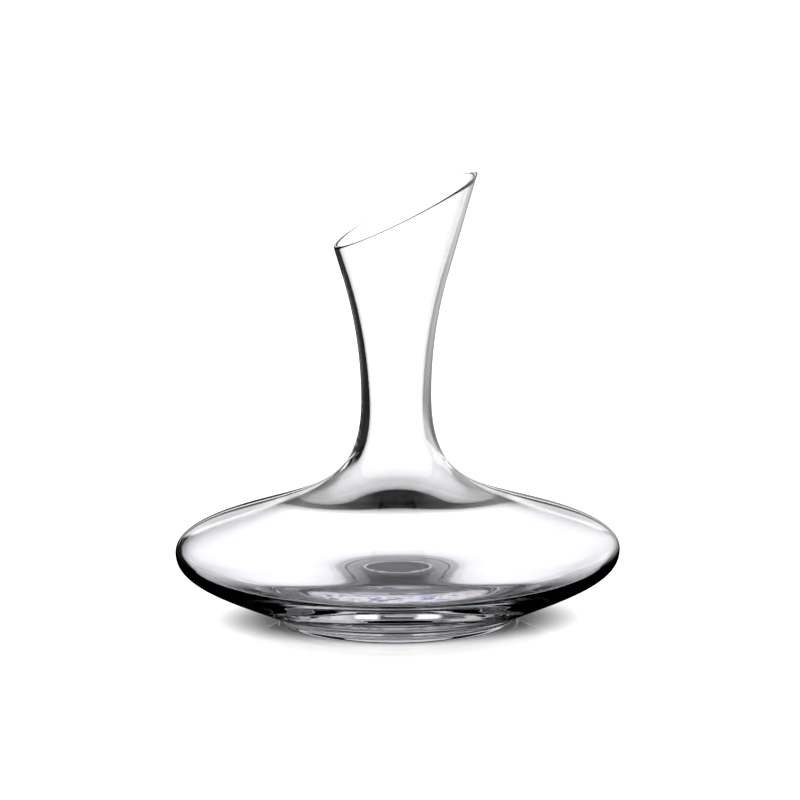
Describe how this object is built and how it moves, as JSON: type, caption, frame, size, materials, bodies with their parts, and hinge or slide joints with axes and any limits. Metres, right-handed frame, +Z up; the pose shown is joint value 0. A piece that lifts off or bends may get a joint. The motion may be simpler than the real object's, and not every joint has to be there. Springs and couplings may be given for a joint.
{
  "type": "wine decanter",
  "caption": "Wide, low glass wine decanter on a ring foot, with a slim neck that opens into a slanted pouring lip.",
  "frame": {"origin": "on the table, at the middle of the standing ring, which is also the vessel's axis", "axes": "+Z up along the vessel's axis, +X towards the high point of the slanted lip, over which the wine is poured"},
  "size_m": [0.22, 0.22, 0.223],
  "materials": {
    "clear_glass": "fire-polished clear crystal glass, smooth inside and out"
  },
  "bodies": {
    "root": {"base": "clear_glass", "bowl": "clear_glass", "shoulder": "clear_glass", "neck": "clear_glass", "lip": "clear_glass"}
  },
  "joints": []
}
